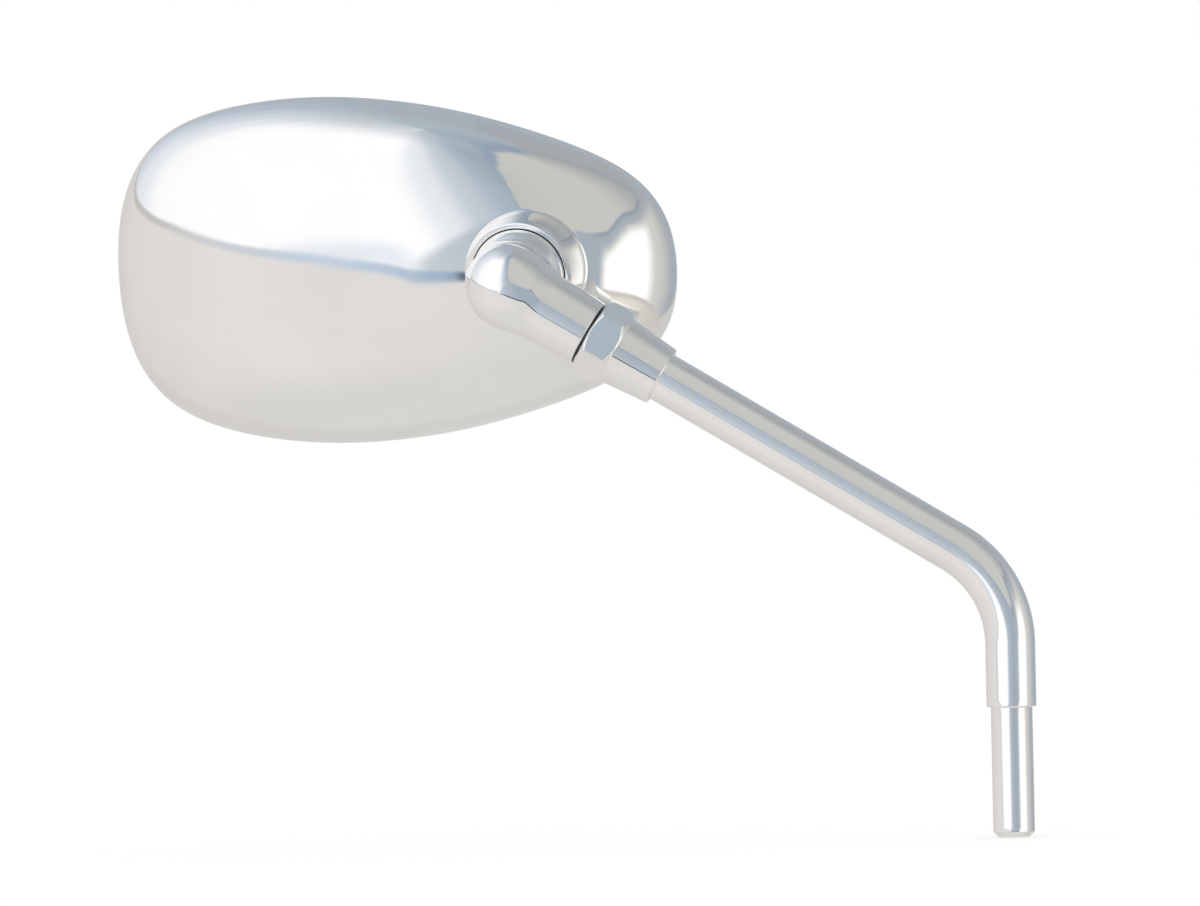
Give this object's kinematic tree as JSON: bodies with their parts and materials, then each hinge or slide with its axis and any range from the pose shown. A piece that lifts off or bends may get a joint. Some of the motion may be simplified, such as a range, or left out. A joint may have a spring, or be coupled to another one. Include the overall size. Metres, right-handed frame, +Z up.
{
  "type": "motorcycle mirror",
  "caption": "Motorcycle mirror: a bent round stem with a plain clamping pin, a clamp nut, a turning elbow and an egg-shaped domed metal head with convex glass on a ball joint.",
  "frame": {"origin": "centre of the stem's shoulder, where the bent rod steps down to the plain pin", "axes": "+Z up along the stem's lower leg, the pin points to -Z; the stem lies in the XZ plane and leans to -X; the domed back of the head looks to -Y and the glass to +Y"},
  "size_m": [0.2258, 0.0711, 0.1822],
  "materials": {
    "chrome_rod": "polished",
    "chrome_fitting": "polished",
    "chrome_head": "polished",
    "dark_steel": "satin",
    "zinc_steel": "satin",
    "nut_insert": "satin",
    "seat_plastic": "matte",
    "black_rubber": "matte",
    "mirror_glass": "polished",
    "backing_film": "matte",
    "foam": "matte"
  },
  "bodies": {
    "stem": {"stem": "chrome_rod"},
    "lock_washer": {"lock_washer": "dark_steel"},
    "lock_nut": {"lock_nut": "chrome_fitting"},
    "elbow": {"elbow": "chrome_fitting", "pivot_stud": "zinc_steel", "disc_spring_1": "dark_steel", "disc_spring_2": "dark_steel", "pivot_washer": "zinc_steel", "pivot_nut": "zinc_steel", "nut_insert": "nut_insert"},
    "pressure_cup": {"pressure_cup": "zinc_steel"},
    "ball_seat": {"ball_seat": "seat_plastic"},
    "head": {"head_shell": "chrome_head", "dust_ring": "black_rubber", "glass_gasket": "black_rubber", "mirror_glass": "mirror_glass", "backing_film": "backing_film", "foam_block_1": "foam", "foam_block_2": "foam", "foam_block_3": "foam"}
  },
  "joints": [
    {"name": "lock_nut_travel", "type": "slide", "parent": "stem", "child": "lock_washer", "axis": [0.8526, 0, -0.5225], "range_m": [0, 0.00374]},
    {"name": "lock_nut_turn", "type": "hinge", "parent": "lock_washer", "child": "lock_nut", "pos_m": [-0.11894, 0, 0.10329], "axis": [0.8526, 0, -0.5225], "range_deg": [0, 1080]},
    {"name": "elbow_turn", "type": "hinge", "parent": "stem", "child": "elbow", "pos_m": [-0.11894, 0, 0.10329], "axis": [0.8526, 0, -0.5225], "range_deg": [-180, 180]},
    {"name": "head_swivel", "type": "hinge", "parent": "elbow", "child": "pressure_cup", "pos_m": [-0.11717, 0.01358, 0.10618], "axis": [-0.1264, -0.9703, -0.2063], "range_deg": [-150, 90]},
    {"name": "head_tilt", "type": "hinge", "parent": "pressure_cup", "child": "ball_seat", "pos_m": [-0.11717, 0.01358, 0.10618], "axis": [0.992, -0.1246, -0.0218], "range_deg": [-8, 8]},
    {"name": "head_pan", "type": "hinge", "parent": "ball_seat", "child": "head", "pos_m": [-0.11717, 0.01358, 0.10618], "axis": [-0.0046, -0.2074, 0.9783], "range_deg": [-8, 8]}
  ],
  "couplings": [
    {"joint": "lock_nut_turn", "follows": "lock_nut_travel", "rad_per_m": 5026.5}
  ]
}
